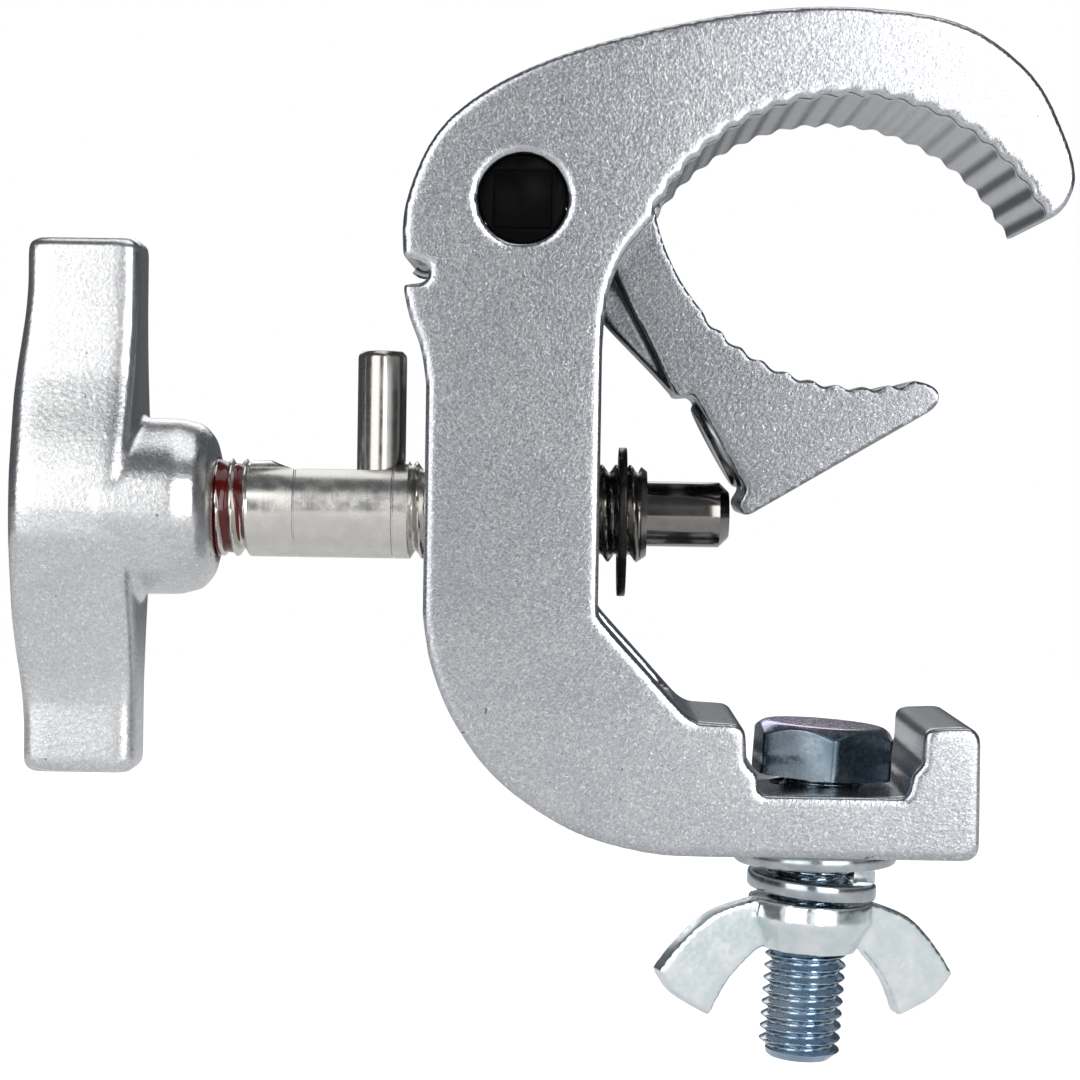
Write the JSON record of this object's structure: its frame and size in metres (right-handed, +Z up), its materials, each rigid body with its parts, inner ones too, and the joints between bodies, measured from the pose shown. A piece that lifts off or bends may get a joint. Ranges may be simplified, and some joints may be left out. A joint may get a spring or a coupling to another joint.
{
  "type": "pipe clamp",
  "caption": "Quick-release hook clamp with a swinging jaw, a sprung plunger spindle, a tee handle and a hanging bolt with a wing nut.",
  "frame": {"origin": "middle of the tube that the hook seats on, on the clamp's middle plane", "axes": "+Z up, +X from the handle towards the mouth, +Y along the tube from the front cheek to the back cheek"},
  "size_m": [0.1265, 0.03, 0.1271],
  "materials": {
    "tumbled_aluminium": "satin, vibratory tumbled, with a fine bright speckle",
    "cast_aluminium": "satin, as cast and tumbled",
    "turned_steel": "fine turned stainless, warm grey",
    "ground_steel": "ground dowel, glossy",
    "spring_steel": "hardened, grey",
    "blackened_steel": "phosphated, satin black",
    "zinc_plate": "bright blue-passivated zinc",
    "black_plastic": "satin black",
    "thread_lock": "cured red thread-lock, glossy"
  },
  "bodies": {
    "frame": {"clamp_body": "tumbled_aluminium", "pivot_cap_front": "black_plastic", "pivot_cap_back": "black_plastic", "hex_bolt": "zinc_plate", "jaw_spring": "spring_steel"},
    "spindle_feed": {"retaining_ring": "blackened_steel", "plunger_spring": "spring_steel"},
    "spindle": {"spindle_barrel": "turned_steel", "tee_handle": "cast_aluminium", "thread_lock_bead": "thread_lock"},
    "plunger": {"plunger": "turned_steel", "trigger_pin": "ground_steel"},
    "pivot": {"jaw_pivot_pin": "turned_steel"},
    "jaw": {"swing_jaw": "tumbled_aluminium", "jaw_wear_disc": "spring_steel"},
    "washers": {"flat_washer": "zinc_plate", "spring_washer": "zinc_plate"},
    "wing_nut": {"wing_nut": "zinc_plate"}
  },
  "joints": [
    {"name": "spindle_slide", "type": "slide", "parent": "frame", "child": "spindle_feed", "axis": [1, 0, 0], "range_m": [-0.0136, 0]},
    {"name": "spindle_turn", "type": "hinge", "parent": "spindle_feed", "child": "spindle", "pos_m": [0, 0, -0.0238], "axis": [1, 0, 0], "range_deg": [-2700, 0]},
    {"name": "plunger_slide", "type": "slide", "parent": "spindle", "child": "plunger", "axis": [1, 0, 0], "range_m": [-0.0103, 0], "stiffness_N_per_m": 350, "springref_m": 0.008, "deforming": ["plunger_spring"]},
    {"name": "pivot_turn", "type": "hinge", "parent": "frame", "child": "pivot", "pos_m": [-0.0384, 0, 0.0133], "axis": [0, 1, 0], "range_deg": [0, 17.3]},
    {"name": "jaw_swing", "type": "hinge", "parent": "pivot", "child": "jaw", "pos_m": [-0.0384, 0, 0.0133], "axis": [0, 1, 0], "range_deg": [0, 13.3]},
    {"name": "washer_drop", "type": "slide", "parent": "frame", "child": "washers", "axis": [0.0593, 0, 0.9982], "range_m": [-0.0101, 0]},
    {"name": "wing_nut_turn", "type": "hinge", "parent": "washers", "child": "wing_nut", "pos_m": [-0.0012, 0, -0.06], "axis": [0.0593, 0, 0.9982], "range_deg": [-2400, 0]}
  ],
  "couplings": [
    {"joint": "spindle_slide", "follows": "spindle_turn", "m_per_rad": 0.00027852},
    {"joint": "pivot_turn", "follows": "spindle_turn", "ratio": -0.0061736},
    {"joint": "jaw_swing", "follows": "plunger_slide", "rad_per_m": -22.166},
    {"joint": "washer_drop", "follows": "wing_nut_turn", "m_per_rad": 0.00023873}
  ]
}
